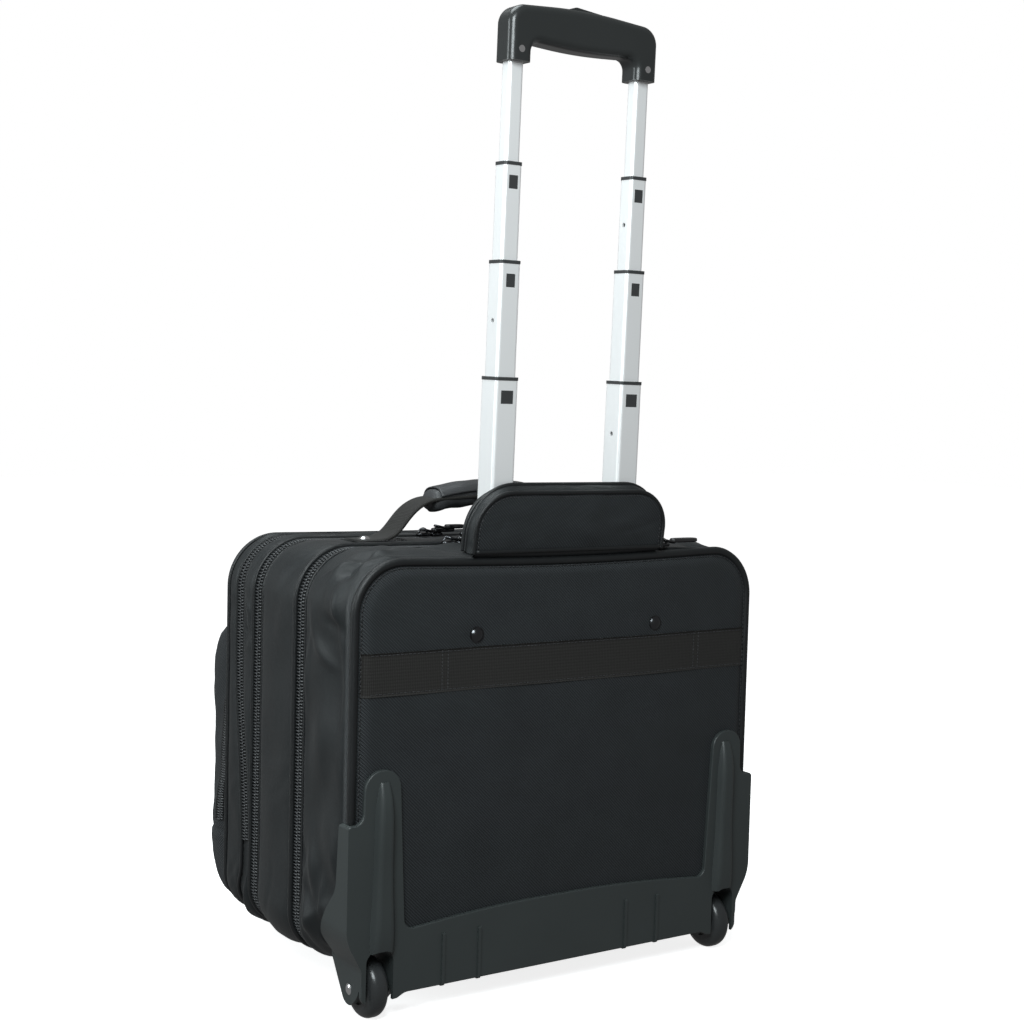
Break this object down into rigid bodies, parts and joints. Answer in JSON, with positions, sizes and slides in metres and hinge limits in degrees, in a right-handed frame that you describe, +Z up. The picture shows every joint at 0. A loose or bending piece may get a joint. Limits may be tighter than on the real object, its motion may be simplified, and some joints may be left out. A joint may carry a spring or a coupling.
{
  "type": "rolling laptop case",
  "caption": "Soft black rolling laptop case with stepped telescopic handle, fold-back handle hood, moulded wheel base, zipped sections and padded carry handle.",
  "frame": {"origin": "on the floor, under the middle of the whole case's box with the handle pulled out", "axes": "+Z up along the handle, -Y towards the case's front pocket, +Y towards its back panel and wheels, +X along the wheel axis"},
  "size_m": [0.4566, 0.3463, 0.9011],
  "materials": {
    "nylon_twill": "fine diagonal weave, charcoal black",
    "nylon_satin": "smooth satin nylon, slightly wrinkled",
    "lining": "plain grey polyester lining",
    "webbing": "ribbed webbing, warm black",
    "piping": "smooth coated piping",
    "zip": "nylon coil",
    "moulding": "satin moulded polypropylene",
    "grip_plastic": "satin soft-touch",
    "collar": "satin black acetal",
    "tube": "satin anodised",
    "board": "pressed foam-plastic board",
    "steel": "bright plated",
    "black_steel": "black lacquer, domed",
    "tyre": "smooth urethane",
    "hub": "moulded",
    "padded_leather": "fine-grain synthetic leather",
    "foot": "moulded",
    "gunmetal": "dark nickel plated"
  },
  "bodies": {
    "case": {"rear_gusset": "nylon_satin", "back_panel": "nylon_twill", "back_piping": "piping", "back_band": "webbing", "panel_rivets": "black_steel", "lining_board": "board", "outer_tube_left": "tube", "outer_tube_right": "tube", "tube_bezel": "moulding", "tube_bracket": "moulding", "frame_screws": "steel", "base_moulding": "moulding", "wheel_axles": "steel", "zip_1_coil": "zip"},
    "hood": {"hood_shell": "nylon_twill"},
    "stage_1": {"stage_1_tube_left": "tube", "stage_1_tube_right": "tube", "stage_1_collars": "collar", "stage_1_plugs": "collar"},
    "stage_2": {"stage_2_tube_left": "tube", "stage_2_tube_right": "tube", "stage_2_collars": "collar", "stage_2_plugs": "collar"},
    "stage_3": {"stage_3_tube_left": "tube", "stage_3_tube_right": "tube", "stage_3_collars": "collar", "stage_3_plugs": "collar"},
    "stage_4": {"stage_4_tube_left": "tube", "stage_4_tube_right": "tube", "stage_4_plugs": "collar", "grip_lower": "grip_plastic", "grip_upper": "grip_plastic", "grip_screws": "steel", "button_spring": "steel"},
    "button": {"release_button": "grip_plastic", "release_rods": "steel"},
    "wheel_left": {"wheel_tyre_left": "tyre", "wheel_hub_left": "hub"},
    "wheel_right": {"wheel_tyre_right": "tyre", "wheel_hub_right": "hub"},
    "laptop_section": {"laptop_gusset": "nylon_satin", "laptop_divider": "lining", "laptop_sleeve": "lining", "zip_2_coil": "zip", "carry_anchors": "webbing", "front_feet": "foot"},
    "carry_handle": {"carry_strap": "webbing", "carry_grip": "padded_leather"},
    "organizer_section": {"organizer_gusset": "nylon_satin", "organizer_divider": "lining", "organizer_pockets": "lining", "zip_3_coil": "zip"},
    "front_flap": {"front_flap": "nylon_twill", "front_pocket": "nylon_twill"},
    "zip_1_slider": {"zip_1_slider": "gunmetal"},
    "zip_1_pull": {"zip_1_pull": "gunmetal"},
    "zip_2_slider": {"zip_2_slider": "gunmetal"},
    "zip_2_pull": {"zip_2_pull": "gunmetal"},
    "hood_slider": {"hood_slider": "gunmetal"},
    "hood_pull": {"hood_pull": "gunmetal"}
  },
  "joints": [
    {"name": "handle_stage_1", "type": "slide", "parent": "case", "child": "stage_1", "axis": [0, 0.0297, 0.9996], "range_m": [-0.1523, 0]},
    {"name": "handle_stage_2", "type": "slide", "parent": "stage_1", "child": "stage_2", "axis": [0, 0.0297, 0.9996], "range_m": [-0.1008, 0]},
    {"name": "handle_stage_3", "type": "slide", "parent": "stage_2", "child": "stage_3", "axis": [0, 0.0297, 0.9996], "range_m": [-0.0838, 0]},
    {"name": "handle_stage_4", "type": "slide", "parent": "stage_3", "child": "stage_4", "axis": [0, 0.0297, 0.9996], "range_m": [-0.0846, 0]},
    {"name": "release_button", "type": "slide", "parent": "stage_4", "child": "button", "axis": [0, 0.0297, 0.9996], "range_m": [-0.004, 0], "stiffness_N_per_m": 600, "springref_m": 0.001, "deforming": ["button_spring"]},
    {"name": "hood_fold", "type": "hinge", "parent": "case", "child": "hood", "pos_m": [0, 0.1605, 0.408], "axis": [-1, 0, 0], "range_deg": [0, 90]},
    {"name": "wheel_left_spin", "type": "hinge", "parent": "case", "child": "wheel_left", "pos_m": [0.195, 0.143, 0.0275], "axis": [1, 0, 0], "continuous": true},
    {"name": "wheel_right_spin", "type": "hinge", "parent": "case", "child": "wheel_right", "pos_m": [-0.195, 0.143, 0.0275], "axis": [1, 0, 0], "continuous": true},
    {"name": "laptop_open", "type": "hinge", "parent": "case", "child": "laptop_section", "pos_m": [0, 0.0596, 0.036], "axis": [1, 0, 0], "range_deg": [0, 75]},
    {"name": "organizer_open", "type": "hinge", "parent": "laptop_section", "child": "organizer_section", "pos_m": [0, -0.0314, 0.036], "axis": [1, 0, 0], "range_deg": [0, 45]},
    {"name": "front_flap_open", "type": "hinge", "parent": "organizer_section", "child": "front_flap", "pos_m": [0, -0.0714, 0.037], "axis": [1, 0, 0], "range_deg": [0, 60]},
    {"name": "carry_handle_swing", "type": "hinge", "parent": "laptop_section", "child": "carry_handle", "pos_m": [0, 0.0155, 0.4287], "axis": [1, 0, 0], "range_deg": [-45, 45]},
    {"name": "zip_1_slide", "type": "slide", "parent": "case", "child": "zip_1_slider", "axis": [1, 0, 0], "range_m": [-0.235, 0.093]},
    {"name": "zip_1_pull_lift", "type": "hinge", "parent": "zip_1_slider", "child": "zip_1_pull", "pos_m": [0.072, 0.061, 0.4139], "axis": [0, 1, 0], "range_deg": [0, 80]},
    {"name": "zip_2_slide", "type": "slide", "parent": "laptop_section", "child": "zip_2_slider", "axis": [1, 0, 0], "range_m": [-0.209, 0.119]},
    {"name": "zip_2_pull_lift", "type": "hinge", "parent": "zip_2_slider", "child": "zip_2_pull", "pos_m": [0.046, -0.03, 0.4139], "axis": [0, 1, 0], "range_deg": [0, 80]},
    {"name": "hood_zip_slide", "type": "slide", "parent": "hood", "child": "hood_slider", "axis": [0, 0.1392, 0.9903], "range_m": [0, 0.03]},
    {"name": "hood_pull_lift", "type": "hinge", "parent": "hood_slider", "child": "hood_pull", "pos_m": [-0.122, 0.144, 0.4139], "axis": [0, 1, 0], "range_deg": [0, 80]}
  ]
}
